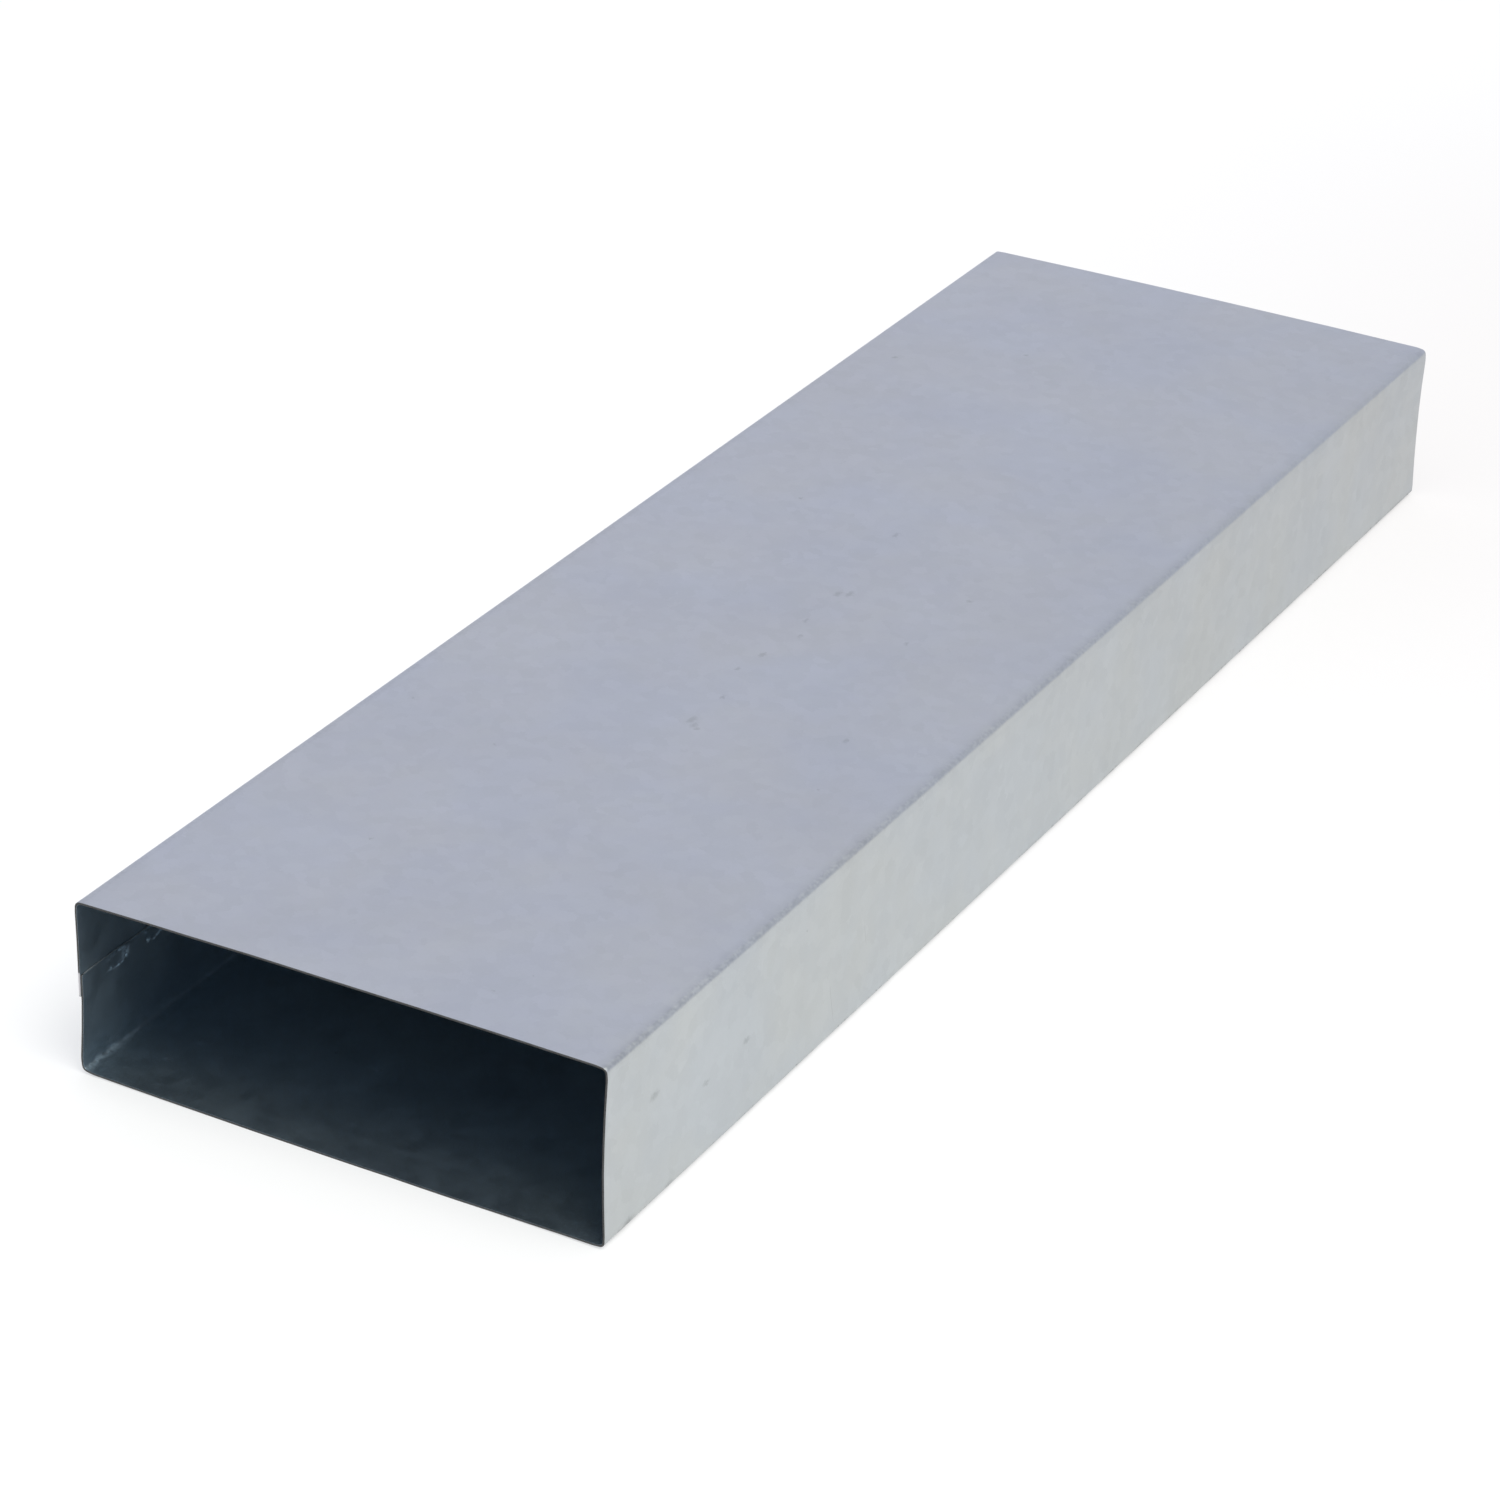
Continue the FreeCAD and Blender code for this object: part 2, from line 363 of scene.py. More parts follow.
def sheetTree(sizes):
    tree = bpy.data.node_groups.new("foldedSheet", "GeometryNodeTree")
    identifiers = inputSockets(tree, sizes)
    size = addNode(tree, "NodeGroupInput").outputs
    path = stripPath(tree, size)
    counted = addNode(tree, "GeometryNodeAttributeDomainSize", {"Geometry": path}, component="CURVE")
    pointCount = counted.outputs[0]

    tangent = addNode(tree, "GeometryNodeInputTangent").outputs[0]
    tangentX, _, tangentZ = partsOf(tree, tangent)
    outward = vectorOf(tree, tangentZ, 0.0, product(tree, tangentX, -1.0))
    here = addNode(tree, "GeometryNodeInputPosition").outputs[0]
    index = addNode(tree, "GeometryNodeInputIndex").outputs[0]
    half = halfOf(tree, size["gauge"])
    leftShare, upperShare = -0.49, 0.75  # of the width and height: the flaps lie left of and below these

    def onPath(field, column):  # a value of the path's points, read by their number
        return addNode(tree, "GeometryNodeSampleIndex", {"Geometry": path, "Value": field, "Index": column},
                       data_type="FLOAT_VECTOR", domain="POINT").outputs[0]

    def onSheet(grid, column, side, y):
        # lays a flat grid on the folded strip: side is 1 on its outside face and -1 on its inside face
        x, _, z = partsOf(tree, onPath(here, column))
        faceX, _, faceZ = partsOf(tree, onPath(outward, column))
        middle = vectorOf(tree, x, y, z)
        # only the two faces that the electrodes touched are marked
        leftWall = calc(tree, "LESS_THAN", x, product(tree, size["width"], leftShare))
        outerBack = minus(tree, size["gauge"], halfOf(tree, size["width"]))
        behindOuter = calc(tree, "GREATER_THAN", x, outerBack)
        belowRoof = calc(tree, "LESS_THAN", z, product(tree, size["height"], upperShare))
        innerFlap = product(tree, leftWall, behindOuter, belowRoof)
        seen = calc(tree, "GREATER_THAN", product(tree, side, minus(tree, 0.5, innerFlap)), 0.0)
        dish, rim = weldMarks(tree, size, y, z)
        marked = product(tree, leftWall, seen)
        dish = product(tree, dish, marked)
        rim = product(tree, rim, marked)
        relief = minus(tree, product(tree, rim, size["weld rim"]), product(tree, dish, size["weld depth"]))
        lift = product(tree, side, total(tree, half, relief))
        face = vectorOf(tree, product(tree, faceX, lift), 0.0, product(tree, faceZ, lift))
        wander = cutWander(tree, size, middle, innerFlap, leftWall)
        place = combine(tree, "ADD", combine(tree, "ADD", middle, face), wander)
        unevenness = wallShape(tree, size, middle)  # the same on both faces, so the gauge stays
        inside = halfOf(tree, minus(tree, 1.0, side))
        for name, value in (("weldDish", dish), ("weldRim", rim), ("inside", inside)):
            grid = stored(tree, grid, name, value, "FLOAT", "POINT")
        return addNode(tree, "GeometryNodeSetPosition",
                       {"Geometry": grid, "Position": place, "Offset": unevenness}).outputs[0]

    # the tube: out along the outside face, round the outer flap's edge, back along the inside face
    loop = product(tree, pointCount, 2.0)
    tube = addNode(tree, "GeometryNodeMeshGrid", {"Size X": 1.0, "Size Y": size["length"],
                                                  "Vertices X": total(tree, loop, 1.0),
                                                  "Vertices Y": size["stations"]}).outputs[0]
    midIndex = total(tree, index, 0.5)  # half a step on, so that no rounding slips
    column = calc(tree, "FLOOR", calc(tree, "DIVIDE", midIndex, size["stations"]))
    midColumn = total(tree, column, 0.5)
    point = calc(tree, "FLOOR", calc(tree, "PINGPONG", midColumn, pointCount))
    isInside = calc(tree, "GREATER_THAN", calc(tree, "FLOORED_MODULO", midColumn, loop), pointCount)
    side = minus(tree, 1.0, product(tree, isInside, 2.0))
    _, flatY, _ = partsOf(tree, here)
    tube = onSheet(tube, point, side, foldStations(tree, size, flatY))
    tube = addNode(tree, "GeometryNodeFlipFaces", {"Mesh": tube}).outputs[0]

    # the faces between the last point and the first, on both flaps, are cut edges
    strip = calc(tree, "FLOOR", calc(tree, "DIVIDE", midIndex, minus(tree, size["stations"], 1.0)))
    place = calc(tree, "FLOORED_MODULO", total(tree, strip, 1.0, 0.5), pointCount)
    isCut = calc(tree, "LESS_THAN", place, 1.0)
    pieces = [stored(tree, tube, "cutEdge", isCut, "BOOLEAN", "FACE")]

    # the cut edge round each mouth
    for end in (-1.0, 1.0):
        ring = addNode(tree, "GeometryNodeMeshGrid", {"Size X": 1.0, "Size Y": 1.0,
                                                      "Vertices X": pointCount, "Vertices Y": 2}).outputs[0]
        ringPoint = calc(tree, "FLOOR", halfOf(tree, midIndex))
        ringSide = minus(tree, product(tree, calc(tree, "MODULO", index, 2.0), 2.0), 1.0)
        ringY = product(tree, size["length"], 0.5 * end)
        ring = onSheet(ring, ringPoint, product(tree, ringSide, end), ringY)
        pieces.append(stored(tree, ring, "cutEdge", True, "BOOLEAN", "FACE"))

    joined = addNode(tree, "GeometryNodeJoinGeometry")
    for piece in reversed(pieces):
        tree.links.new(piece, joined.inputs[0])
    closed = addNode(tree, "GeometryNodeMergeByDistance",
                     {"Geometry": joined.outputs[0], "Distance": size["merge distance"]})
    smooth = addNode(tree, "GeometryNodeSetShadeSmooth", {"Geometry": closed.outputs[0]})
    real = addNode(tree, "GeometryNodeRealizeInstances", {"Geometry": smooth.outputs[0]})
    cutFaces = addNode(tree, "GeometryNodeInputNamedAttribute", {"Name": "cutEdge"}, data_type="BOOLEAN")
    coated = addNode(tree, "GeometryNodeSetMaterial",
                     {"Geometry": real.outputs[0], "Material": size["sheet"]})
    done = addNode(tree, "GeometryNodeSetMaterial",
                   {"Geometry": coated.outputs[0], "Selection": cutFaces.outputs[0],
                    "Material": size["cut edge"]})
    output = addNode(tree, "NodeGroupOutput")
    tree.links.new(done.outputs[0], output.inputs[0])
    return tree, identifiers


def makeDuct(sheetMaterial, edgeMaterial):
    low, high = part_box(duct["node"])
    extent = high - low
    notInTree = ("name", "node", "slot", "body", "edge round", "edge steps", "edge angle")
    sizes = {name: value for name, value in duct.items() if name not in notInTree}
    sizes.update({"width": extent.x, "length": extent.y, "height": extent.z,
                  "sheet": sheetMaterial, "cut edge": edgeMaterial})
    tree, identifiers = sheetTree(sizes)
    blank = bpy.data.objects.new("blankSheet", bpy.data.meshes.new("blankSheet"))
    scene.collection.objects.link(blank)
    folding = blank.modifiers.new("folding", "NODES")
    folding.node_group = tree
    for name, value in sizes.items():
        folding[identifiers[name]] = value
    worn = blank.modifiers.new("worn edges", "BEVEL")
    worn.width = duct["edge round"]
    worn.segments = duct["edge steps"]
    worn.limit_method = "ANGLE"
    worn.angle_limit = math.radians(duct["edge angle"])
    worn.use_clamp_overlap = True
    flatWalls = blank.modifiers.new("flat walls", "WEIGHTED_NORMAL")  # folds don't shade the walls
    flatWalls.mode = "FACE_AREA"
    depsgraph = bpy.context.evaluated_depsgraph_get()
    mesh = bpy.data.meshes.new_from_object(blank.evaluated_get(depsgraph), depsgraph=depsgraph)
    bpy.data.objects.remove(blank)
    mesh.name = duct["name"]
    mesh.materials.pop(index=0)  # the mesh grid's own empty slot
    mesh.attributes.remove(mesh.attributes["cutEdge"])
    piece = bpy.data.objects.new(duct["name"], mesh)
    scene.collection.objects.link(piece)
    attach(piece, duct["body"])
    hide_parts(duct["node"])
    print("duct folded:", len(mesh.vertices), "points,", len(mesh.polygons), "faces")


zinc = {
    "cool": (0.491, 0.519, 0.539),
    "warm": (0.502, 0.523, 0.526),
    "inside": (0.73, 0.87, 0.985),  # painted shade: a darker, bluer copy of the coat for the inside, times the colour outside
    "roughness": 0.43,
    "inside rough": 0.06,       # what each thing adds to the roughness, here and below
    "stain scale": 95.0,        # patches where the coat is duller
    "stain squeeze": (1.0, 1.0, 0.4),  # drawn out upwards
    "stain rough": 0.11,
    "spangle scale": 260.0,     # crystals of about 4 mm
    "spangle": 0.042,           # how much they differ in brightness
    "spangle rough": 0.05,
    "cloud scale": 26.0,        # broad paler and darker patches
    "cloud": 0.11,
    "cloud rough": 0.06,
    "grain scale": 1100.0,      # the finest mottling
    "grain": 0.045,
    "fray": 0.0022,             # how ragged the crystals' borders are
    "core": 0.4,                # share of a fading mask that is at full strength
    "speck scale": 85.0,
    "speck chance": 0.20,
    "speck least": 0.03,        # radius of the smallest, in cells
    "speck spread": 0.09,       # and how much larger the largest is
    "speck": 0.12,              # how much darker a speck is
    "speck rough": 0.12,
    "roof mark": 0.14,          # how much darker the marks below are
    "side mark": 0.17,
    "mark rough": 0.4,          # times how much darker they are
    "mark blur": (1.2, 0.2),    # where a mark starts and is full, in radii
    "roof squeeze": (1.0, 0.5, 0.3),   # marks are longer along the duct than across it
    "side squeeze": (0.3, 0.5, 1.0),
    "foot height": 0.0022,      # dirt speckles along the foot of the outside, partly painted shade where the fold turns under to the floor
    "foot": 0.42,
    "mouth floor shade": 0.28,               # painted shade on the inner floor, darkest at the mouths
    "seam height": 0.0010,      # painted shadow under the outer flap's edge, with patchy grime caught there
    "seam": 0.34,
    "seam fade": (1.6, 0.8),    # where it ends above that edge, in shares of the edge's wander
    "fold reach": 0.0038,       # how far the folds' crazing spreads across the wide walls
    "fold rise": 0.0018,        # and up the sides
    "fold": 0.13,
    "fold rough": 0.10,
    "fold fade": 0.22,          # where along the duct the crazing has nearly gone
    "fold left": 0.2,           # and the share that is left there
    "bruise reach": 0.0030,     # how far the folds' dents and wear spread, both ways
    "worn length": 0.036,       # handling wears the folds near the mouths
    "worn": 0.05,
    "worn rough": 0.45,
    "weld grey": 0.04,          # weld marks: smooth grey dish, burnt ragged rim with beads, their brightness a painted glint
    "burnt": 0.25,
    "bead glint": 0.50,
    "bead rough": 0.45,
    "relief": 0.000015,         # height of the grain
    "rim relief": 8.0,          # how many times higher round a weld
    "dent scale": 320.0,        # unevenness left by the folding
    "dent": 0.00014,
    "tint range": (0.38, 0.62),             # where each noise turns from nothing to full
    "crumb range": (0.38, 0.62),
    "worn range": (0.42, 0.58),
    "foot range": (0.36, 0.56),
    "burnt range": (0.46, 0.38),
    "bead range": (0.47, 0.56),
    "craze range": (0.38, 0.62, 0.75, 0.25),   # and here from one strength to another
    "rub range": (0.0, 1.0, 0.4, 1.0),
    "foot crumb range": (0.40, 0.60, 0.4, 1.5),
    "seam range": (0.30, 0.60, 0.55, 1.0),
    "roof marks": (             # scuffs along the middle of the roof: x, y, radius
        (0.0024, -0.0026, 0.0011), (0.0052, -0.0009, 0.0012), (0.0055, -0.0895, 0.0013),
        (0.0075, -0.0917, 0.0010), (0.0028, -0.0217, 0.0008), (0.0060, -0.0312, 0.0007),
        (0.0029, -0.0463, 0.0010), (0.0012, -0.0573, 0.0008), (0.0059, -0.0738, 0.0008),
        (0.0326, -0.0198, 0.0008), (-0.0018, 0.0397, 0.0009), (0.0451, -0.0783, 0.0009)),
    "side marks": (             # spots on the right wall: y, z, radius
        (-0.1822, 0.0224, 0.0010), (-0.2269, 0.0304, 0.0014), (-0.2018, 0.0207, 0.0010),
        (-0.2389, 0.0022, 0.0014), (-0.2417, 0.0012, 0.0012), (-0.2200, 0.0014, 0.0014)),
    "scuffs": (                 # fine upright scratches on the right wall: y at the foot, foot, head, lean
        (-0.1369, 0.0036, 0.0181, -0.17), (-0.1195, 0.0175, 0.0257, -0.21)),
    "scuff width": 0.00022,
    "scuff fade": 0.3,          # share of a scratch that fades at each end
    "scuff depth": 0.0015,      # scratches reach no further in from the wall's face
}


def newMaterial(name):
    material = bpy.data.materials.new(name)
    material.use_nodes = True
    tree = material.node_tree
    return material, tree, tree.nodes["Principled BSDF"].inputs


def swing(tree, value, amount):  # a 0 to 1 pattern turned into a change of plus or minus half the amount
    return product(tree, minus(tree, value, 0.5), amount)


def changed(tree, base, changes):  # adds each mask times its amount
    for mask, amount in changes:
        base = total(tree, base, product(tree, mask, amount))
    return base


def stretched(tree, vector, scale):
    return combine(tree, "MULTIPLY", vector, scale)


def colourRamp(tree, value, *stops):
    node = addNode(tree, "ShaderNodeValToRGB", {"Fac": value})
    points = node.color_ramp.elements
    while len(points) < len(stops):
        points.new(1.0)
    for point, (place, colour) in zip(points, stops):
        point.position = place
        point.color = (*colour, 1.0)
    return node.outputs["Color"]


def mixed(tree, factor, first, second):  # two colours, by factor
    node = addNode(tree, "ShaderNodeMix", data_type="RGBA")
    sockets = {socket.identifier: socket for socket in node.inputs}
    for name, value in (("Factor_Float", factor), ("A_Color", first), ("B_Color", second)):
        plug(tree, value, sockets[name])
    return next(socket for socket in node.outputs if socket.identifier == "Result_Color")


def strongest(tree, masks):
    result = masks[0]
    for mask in masks[1:]:
        result = calc(tree, "MAXIMUM", result, mask)
    return result


def foldMask(tree, spot, reach, rise):  # 1 on the four folds, fading out on the walls beside them
    low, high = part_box(duct["node"])
    x, _, z = partsOf(tree, spot)
    fromMiddle = calc(tree, "ABSOLUTE", minus(tree, z, (low.z + high.z) / 2))
    halfHeight = (high.z - low.z) / 2
    nearSide = ramp(tree, calc(tree, "ABSOLUTE", x), high.x - reach, high.x - reach * zinc["core"])
    nearRoof = ramp(tree, fromMiddle, halfHeight - rise, halfHeight - rise * zinc["core"])
    return product(tree, nearSide, nearRoof)


def seamGrime(tree, spot):  # 1 just under the outer flap's edge, which wavers: painted shadow there, with patchy grime
    x, _, z = partsOf(tree, spot)
    foot = duct["seam height"] - duct["lap"] / 2
    below = ramp(tree, z, foot - zinc["seam height"], foot)
    above = ramp(tree, z, *(foot + duct["flap wander"] * share for share in zinc["seam fade"]))
    return product(tree, calc(tree, "LESS_THAN", x, 0.0), below, above)


def mouthWear(tree, spot):  # 1 at the two mouths, fading inwards
    _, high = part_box(duct["node"])
    _, y, _ = partsOf(tree, spot)
    return ramp(tree, calc(tree, "ABSOLUTE", y), high.y - zinc["worn length"], high.y)


def specks(tree, spot):
    cells = addNode(tree, "ShaderNodeTexVoronoi", {"Vector": spot, "Scale": zinc["speck scale"]})
    size, chance, _ = partsOf(tree, cells.outputs["Color"])
    reach = total(tree, product(tree, size, zinc["speck spread"]), zinc["speck least"])
    speck = ramp(tree, cells.outputs["Distance"], reach, product(tree, reach, zinc["core"]))
    return product(tree, speck, calc(tree, "LESS_THAN", chance, zinc["speck chance"]))


def marks(tree, spot):  # smudges, each as strong as it darkens the coat
    _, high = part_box(duct["node"])
    onRoof = [(Vector((x, y, high.z)), radius) for x, y, radius in zinc["roof marks"]]
    onSide = [(Vector((high.x, y, z)), radius) for y, z, radius in zinc["side marks"]]
    start, full = zinc["mark blur"]
    masks = []
    for places, squeeze, strength in ((onRoof, Vector(zinc["roof squeeze"]), zinc["roof mark"]),
                                      (onSide, Vector(zinc["side squeeze"]), zinc["side mark"])):
        squeezed = stretched(tree, spot, squeeze)
        for place, radius in places:
            away = combine(tree, "DISTANCE", squeezed, place * squeeze, output="Value")
            masks.append(ramp(tree, away, radius * start, radius * full, 0.0, strength))
    return strongest(tree, masks)


def scuffs(tree, spot):
    _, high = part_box(duct["node"])
    x, y, z = partsOf(tree, spot)
    onSide = calc(tree, "GREATER_THAN", x, high.x - zinc["scuff depth"])
    masks = []
    for footY, foot, head, lean in zinc["scuffs"]:
        up = minus(tree, z, foot)
        away = calc(tree, "ABSOLUTE", minus(tree, minus(tree, y, footY), product(tree, up, lean)))
        line = ramp(tree, away, zinc["scuff width"], 0.0)
        length = head - foot
        fade = length * zinc["scuff fade"]
        ends = product(tree, ramp(tree, up, 0.0, fade), ramp(tree, up, length, length - fade))
        masks.append(product(tree, line, ends, onSide))
    return strongest(tree, masks)


def galvanisedSheet():
    material, tree, shader = newMaterial("galvanisedSheet")
    spot = addNode(tree, "ShaderNodeTexCoord").outputs["Object"]

    # the coating: fine grain, small zinc crystals with ragged borders, cloudy patches
    grit = noiseNode(tree, spot, zinc["grain scale"], 2.0).outputs
    grain = grit["Fac"]
    sway = combine(tree, "SUBTRACT", grit["Color"], (0.5, 0.5, 0.5))
    ragged = combine(tree, "ADD", spot, stretched(tree, sway, (zinc["fray"],) * 3))
    crystals = addNode(tree, "ShaderNodeTexVoronoi", {"Vector": ragged, "Scale": zinc["spangle scale"]})
    crystal, facet, _ = partsOf(tree, crystals.outputs["Color"])
    patches = noiseNode(tree, spot, zinc["cloud scale"], 3.0).outputs
    cloud = patches["Fac"]
    _, tintCloud, _ = partsOf(tree, patches["Color"])
    stain = noiseOf(tree, stretched(tree, spot, zinc["stain squeeze"]), zinc["stain scale"], 3.0)
    crumbs = ramp(tree, grain, *zinc["crumb range"])
    dish, rim, inside = (addNode(tree, "ShaderNodeAttribute", attribute_name=name).outputs["Fac"]
                         for name in ("weldDish", "weldRim", "inside"))
    outside = minus(tree, 1.0, inside)

    # what folding and handling left on it
    _, along, _ = partsOf(tree, spot)
    _, _, height = partsOf(tree, ragged)
    dark = specks(tree, ragged)
    marked = marks(tree, ragged)
    scratched = scuffs(tree, spot)
    fold = foldMask(tree, ragged, zinc["fold reach"], zinc["fold rise"])
    fading = ramp(tree, along, 0.0, zinc["fold fade"], 1.0, zinc["fold left"])
    crazed = product(tree, fold, ramp(tree, grain, *zinc["craze range"]), fading)
    bruised = foldMask(tree, ragged, zinc["bruise reach"], zinc["bruise reach"])
    lumps = noiseOf(tree, spot, zinc["dent scale"], 1.0)
    byMouth = mouthWear(tree, spot)
    worn = product(tree, bruised, byMouth, ramp(tree, lumps, *zinc["worn range"]))
    rubbed = product(tree, worn, inside, ramp(tree, crumbs, *zinc["rub range"]))
    lowDown = ramp(tree, height, zinc["foot height"], zinc["foot height"] * zinc["core"])
    smudged = ramp(tree, stain, *zinc["foot range"])
    # darker patchy band along the outside foot: dirt speckles and painted shade of the contact line
    footDirtAndShade = product(tree, lowDown, smudged, ramp(tree, grain, *zinc["foot crumb range"]), outside)
    # the inner floor darkened towards both mouths: painted shade
    mouthFloorShade = product(tree, lowDown, byMouth, byMouth, inside)
    # painted shadow under the outer flap's edge, patchy like grime
    flapShadeAndGrime = product(tree, seamGrime(tree, spot), ramp(tree, stain, *zinc["seam range"]), outside)
    burnt = product(tree, rim, ramp(tree, grain, *zinc["burnt range"]))
    # beads on the weld rims: real rougher beads, brightened as painted glints
    beadsAndGlints = product(tree, rim, ramp(tree, grain, *zinc["bead range"]))

    tone = total(tree, 1.0, swing(tree, crystal, zinc["spangle"]), swing(tree, cloud, zinc["cloud"]),
                 swing(tree, grain, zinc["grain"]))
    tone = changed(tree, tone, ((dark, -zinc["speck"]), (marked, -1.0), (scratched, -zinc["side mark"]),
                                (crazed, -zinc["fold"]), (worn, -zinc["worn"]), (footDirtAndShade, -zinc["foot"]),
                                (flapShadeAndGrime, -zinc["seam"]), (mouthFloorShade, -zinc["mouth floor shade"]), (dish, -zinc["weld grey"]),
                                (burnt, -zinc["burnt"]), (beadsAndGlints, zinc["bead glint"])))
    coolest, warmest = zinc["tint range"]
    tint = colourRamp(tree, tintCloud, (coolest, zinc["cool"]), (warmest, zinc["warm"]))
    # inside faces take a darker, bluer copy of the coat: painted shade inside the duct
    tint = mixed(tree, inside, tint, stretched(tree, tint, zinc["inside"]))
    plug(tree, stretched(tree, tint, vectorOf(tree, tone, tone, tone)), shader["Base Color"])

    rough = total(tree, zinc["roughness"], swing(tree, facet, zinc["spangle rough"]),
                  swing(tree, cloud, zinc["cloud rough"]), swing(tree, stain, zinc["stain rough"]))
    crumbled = swing(tree, crumbs, zinc["fold rough"])
    rough = changed(tree, rough, ((dark, zinc["speck rough"]), (marked, zinc["mark rough"]), (fold, crumbled),
                                  (beadsAndGlints, zinc["bead rough"]), (rubbed, zinc["worn rough"]),
                                  (inside, zinc["inside rough"])))
    plug(tree, rough, shader["Roughness"])
    shader["Metallic"].default_value = 1.0

    coarse = total(tree, zinc["relief"], product(tree, rim, zinc["relief"] * zinc["rim relief"]))
    folds = foldMask(tree, spot, zinc["bruise reach"], zinc["bruise reach"])
    relief = total(tree, product(tree, grain, coarse), product(tree, lumps, folds, zinc["dent"]))
    bump = addNode(tree, "ShaderNodeBump", {"Height": relief, "Distance": 1.0})
    plug(tree, bump.outputs[0], shader["Normal"])
    print("zinc coat mixed")
    return material


shear = {
    "shadedBare": (0.078, 0.077, 0.076),      # painted shade: steel between the two coats, made nearly black so the mouth's dark opening reaches the outer faces
    "shadedGrazed": (0.120, 0.120, 0.120),
    "smeared": (0.66, 0.64, 0.65),      # zinc drawn over the outer flap's end by the blade
    "slit": (0.42, 0.44, 0.46),         # the flaps' long edges, coated after slitting
    "roughness": 0.58,
    "rough swing": 0.2,
    "streak scale": 1700.0,
    "patch scale": 204.0,
    "streak part": 0.55,                # the patches make the rest
    "graze range": (0.38, 0.62),        # where the streaks turn from the darker to the less dark painted-shade steel
    "relief": 0.00003,
    "relief strength": 0.7,
}


def smearedEnd(tree, spot):  # 1 on the outer flap's end, where it covers the inner flap
    low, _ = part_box(duct["node"])
    x, _, z = partsOf(tree, spot)
    gauge = duct["gauge"]
    foot = duct["seam height"] - duct["lap"] / 2
    top = foot + duct["lap"]
    onOuter = ramp(tree, x, low.x + gauge + gauge / 2, low.x + gauge)
    return product(tree, onOuter, ramp(tree, z, foot, foot + gauge), ramp(tree, z, top, top - gauge))


def shearedEdge():
    material, tree, shader = newMaterial("shearedEdge")
    spot = addNode(tree, "ShaderNodeTexCoord").outputs["Object"]
    streak = noiseOf(tree, spot, shear["streak scale"])
    patch = noiseOf(tree, spot, shear["patch scale"])
    smear = total(tree, product(tree, streak, shear["streak part"]),
                  product(tree, patch, 1.0 - shear["streak part"]))
    # the mouths' cut edges are painted nearly black: painted shade carrying the dark opening out to the outer
    # faces
    shadedBare, shadedGrazed = shear["graze range"]
    steel = colourRamp(tree, smear, (shadedBare, shear["shadedBare"]), (shadedGrazed, shear["shadedGrazed"]))
    steel = mixed(tree, smearedEnd(tree, spot), steel, (*shear["smeared"], 1.0))
    _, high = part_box(duct["node"])
    _, y, _ = partsOf(tree, spot)
    fromMouth = minus(tree, high.y, calc(tree, "ABSOLUTE", y))
    isSlit = ramp(tree, fromMouth, duct["gauge"], duct["gauge"] * 3)
    plug(tree, mixed(tree, isSlit, steel, (*shear["slit"], 1.0)), shader["Base Color"])
    rough = total(tree, shear["roughness"], swing(tree, patch, shear["rough swing"]))
    plug(tree, rough, shader["Roughness"])
    shader["Metallic"].default_value = 1.0
    bump = addNode(tree, "ShaderNodeBump", {"Height": streak, "Distance": shear["relief"],
                                            "Strength": shear["relief strength"]})
    plug(tree, bump.outputs[0], shader["Normal"])
    print("cut edges mixed")
    return material


floor = {
    "reach": 6.0,
    "pale": (0.930, 0.932, 0.930),
    "paler": (0.950, 0.952, 0.950),
    "mottle scale": 3.0,
    "mottle range": (0.3, 0.7),
    "shaded patch": (0.760, 0.720, 0.710),  # painted shade: a greyer patch beside the far end, which the right wall mirrors, so that end looks darker
    "shaded patch place": (0.30, 0.42, 0.0),
    "shaded patch reach": 0.62,
    "shaded patch core": 0.2,         # share of that reach that is fully grey
    "roughness": 0.9,
    "white": 0.55,              # share of plain white that the camera and mirrors see
}


def makeFloor():
    reach = floor["reach"]
    corners = [(-reach, -reach, 0), (reach, -reach, 0), (reach, reach, 0), (-reach, reach, 0)]
    mesh = bpy.data.meshes.new("floor")
    mesh.from_pydata(corners, [], [(0, 1, 2, 3)])
    material, tree, shader = newMaterial("paleFloor")
    spot = addNode(tree, "ShaderNodeTexCoord").outputs["Object"]
    mottle = noiseOf(tree, spot, floor["mottle scale"], 3.0)
    pale, paler = floor["mottle range"]
    paper = colourRamp(tree, mottle, (pale, floor["pale"]), (paler, floor["paler"]))
    # a greyer patch on the floor beside the far end: painted shade for the right wall to mirror
    away = combine(tree, "DISTANCE", spot, floor["shaded patch place"], output="Value")
    beside = ramp(tree, away, floor["shaded patch reach"], floor["shaded patch reach"] * floor["shaded patch core"])
    plug(tree, mixed(tree, beside, paper, (*floor["shaded patch"], 1.0)), shader["Base Color"])
    shader["Roughness"].default_value = floor["roughness"]
    shader["Specular IOR Level"].default_value = 0.0
    rays = addNode(tree, "ShaderNodeLightPath").outputs
    seen = strongest(tree, [rays["Is Camera Ray"], rays["Is Glossy Ray"], rays["Is Transmission Ray"]])
    white = addNode(tree, "ShaderNodeEmission", {"Color": (1.0, 1.0, 1.0, 1.0), "Strength": 1.0})
    blend = addNode(tree, "ShaderNodeMixShader", {"Fac": product(tree, seen, floor["white"])})
    tree.links.new(tree.nodes["Principled BSDF"].outputs[0], blend.inputs[1])
    tree.links.new(white.outputs[0], blend.inputs[2])
    tree.links.new(blend.outputs[0], tree.nodes["Material Output"].inputs["Surface"])
    mesh.materials.append(material)
    ground = bpy.data.objects.new("floor", mesh)
    scene.collection.objects.link(ground)
    print("floor laid")


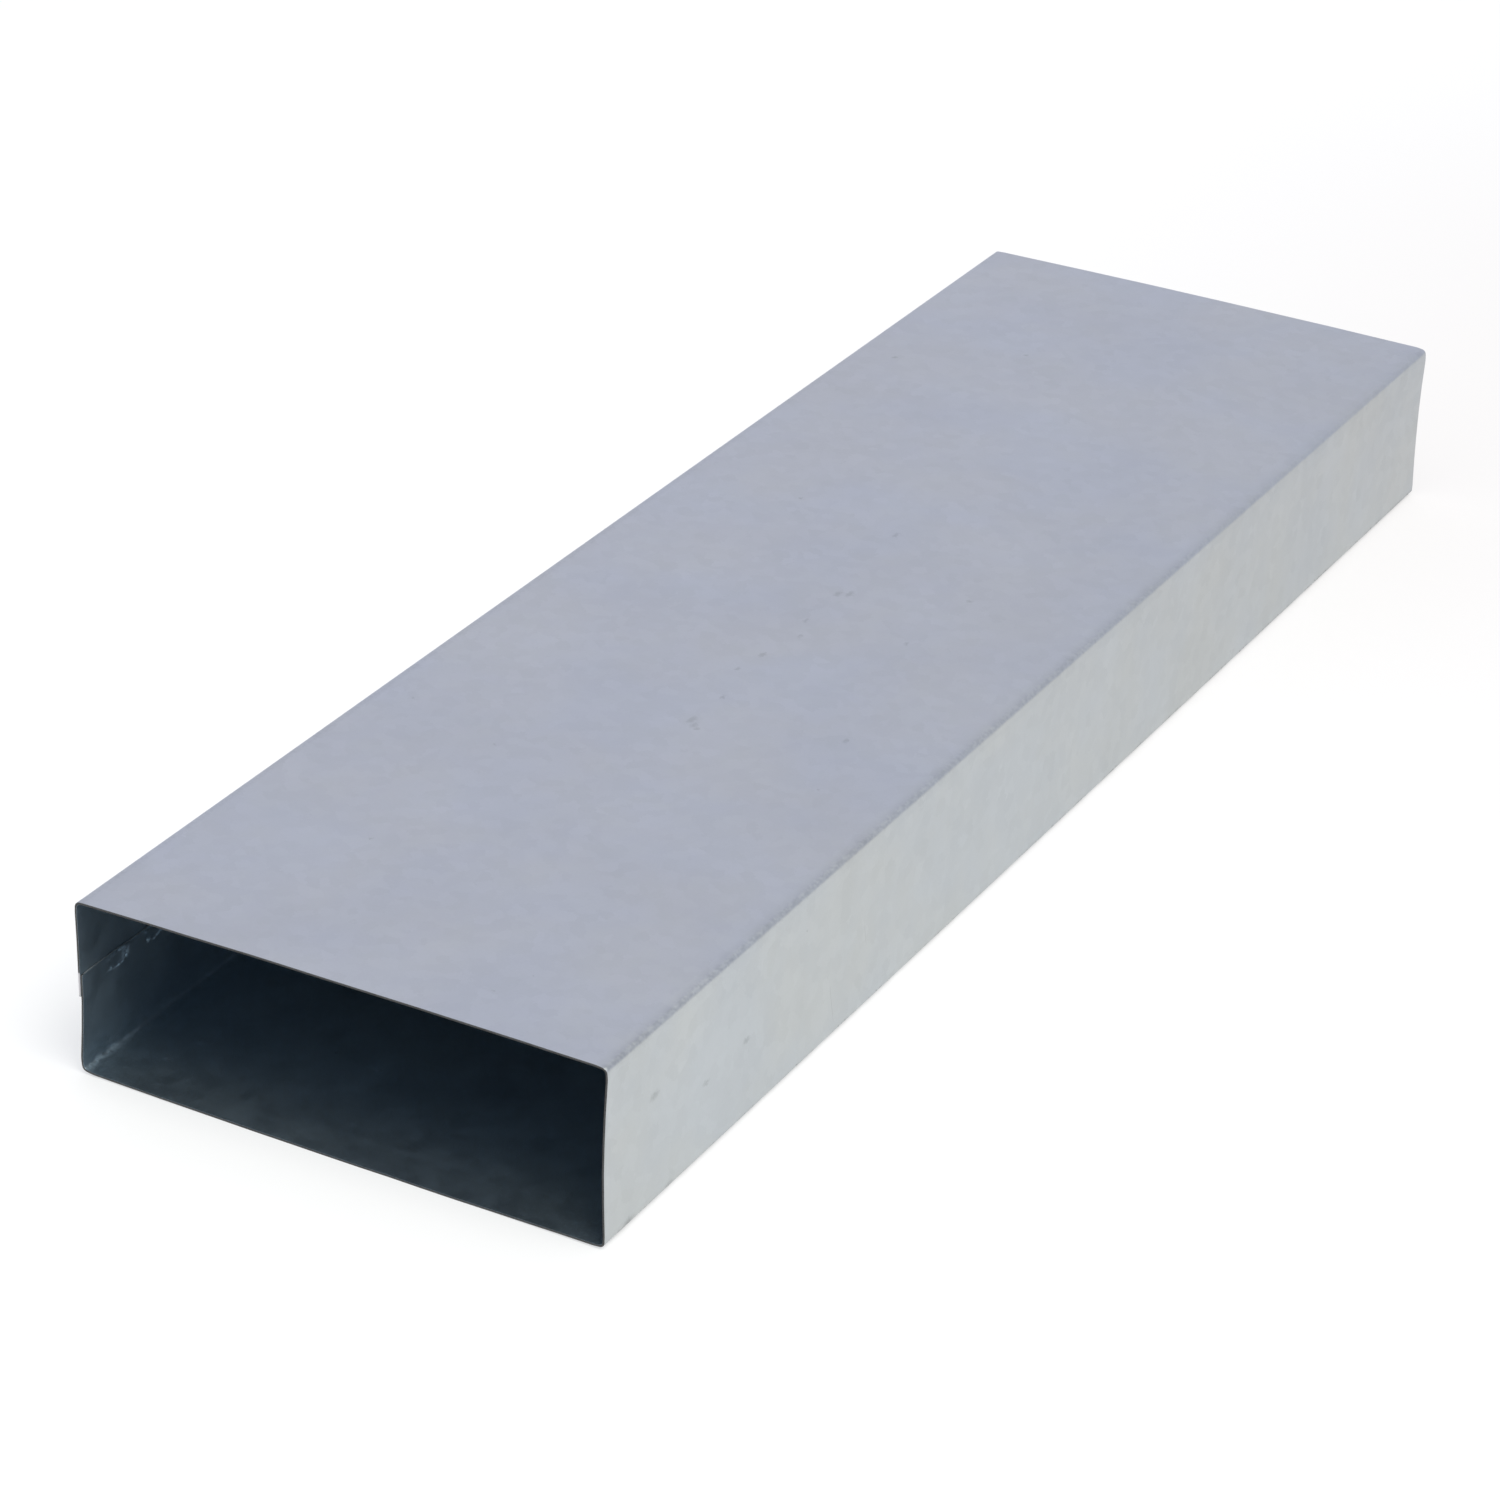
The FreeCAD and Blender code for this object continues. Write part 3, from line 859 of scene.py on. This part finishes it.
light = {
    "behind": (0.828, 0.832, 0.992),    # low sky that the roof mirrors
    "right": (0.575, 0.605, 0.675),     # low sky on the right, which the long fold mirrors
    "front": (0.505, 0.577, 0.655),     # low sky that reaches into the mouth
    "above": (0.980, 0.975, 0.940),     # sky overhead
    "behind range": (-0.6, 0.8),        # where each starts and is full, by a direction's y, x or z
    "right range": (-0.42, -0.10),
    "right end": (0.94, 0.70),          # and by its y, so that the fold's far end stays lighter
    "above range": (0.8, 0.98),
    "key power": 84.0,                  # one wide soft lamp
    "key size": 2.2,
    "key colour": (1.0, 0.975, 0.90),
    "key place": (1.6, -0.8, 2.9),
}


def makeLight():
    world = bpy.data.worlds.new("studio")
    scene.world = world
    world.use_nodes = True
    tree = world.node_tree
    direction = addNode(tree, "ShaderNodeTexCoord").outputs["Generated"]
    x, y, z = partsOf(tree, direction)
    tones = {name: (*light[name], 1.0) for name in ("front", "behind", "right", "above")}
    behind = ramp(tree, y, *light["behind range"])
    right = product(tree, behind, ramp(tree, x, *light["right range"]), ramp(tree, y, *light["right end"]))
    sky = mixed(tree, behind, tones["front"], tones["behind"])
    sky = mixed(tree, right, sky, tones["right"])
    sky = mixed(tree, ramp(tree, z, *light["above range"]), sky, tones["above"])
    background = tree.nodes["Background"].inputs
    plug(tree, sky, background["Color"])
    background["Strength"].default_value = 1.0
    lamp = bpy.data.lights.new("key", "AREA")
    lamp.energy = light["key power"]
    lamp.size = light["key size"]
    lamp.color = light["key colour"]
    key = bpy.data.objects.new("key", lamp)
    scene.collection.objects.link(key)
    key.location = light["key place"]
    key.rotation_euler = (Vector((0, 0, 0)) - key.location).to_track_quat("-Z", "Y").to_euler()
    print("light set")


camera = {
    "place": (0.5400, -1.0569, 0.6242),
    "azimuth": 28.119,
    "elevation": 27.794,
    "roll": 1.939,
    "lens": 114.61,
    "sensor": 36.0,
}


def makeCamera():
    turn, tilt, roll = (math.radians(camera[name]) for name in ("azimuth", "elevation", "roll"))
    forward = Vector((-math.sin(turn) * math.cos(tilt), math.cos(turn) * math.cos(tilt), -math.sin(tilt)))
    level = Vector((math.cos(turn), math.sin(turn), 0.0))
    upright = level.cross(forward)
    right = level * math.cos(roll) + upright * math.sin(roll)
    up = upright * math.cos(roll) - level * math.sin(roll)
    data = bpy.data.cameras.new("photoView")
    data.lens = camera["lens"]
    data.sensor_width = camera["sensor"]
    data.dof.use_dof = False
    eye = bpy.data.objects.new("photoView", data)
    scene.collection.objects.link(eye)
    facing = Matrix((right, up, -forward)).transposed().to_4x4()
    eye.matrix_world = Matrix.Translation(camera["place"]) @ facing
    scene.camera = eye
    print("camera placed")


scene.view_settings.view_transform = "Standard"
makeDuct(galvanisedSheet(), shearedEdge())
makeFloor()
makeLight()
makeCamera()
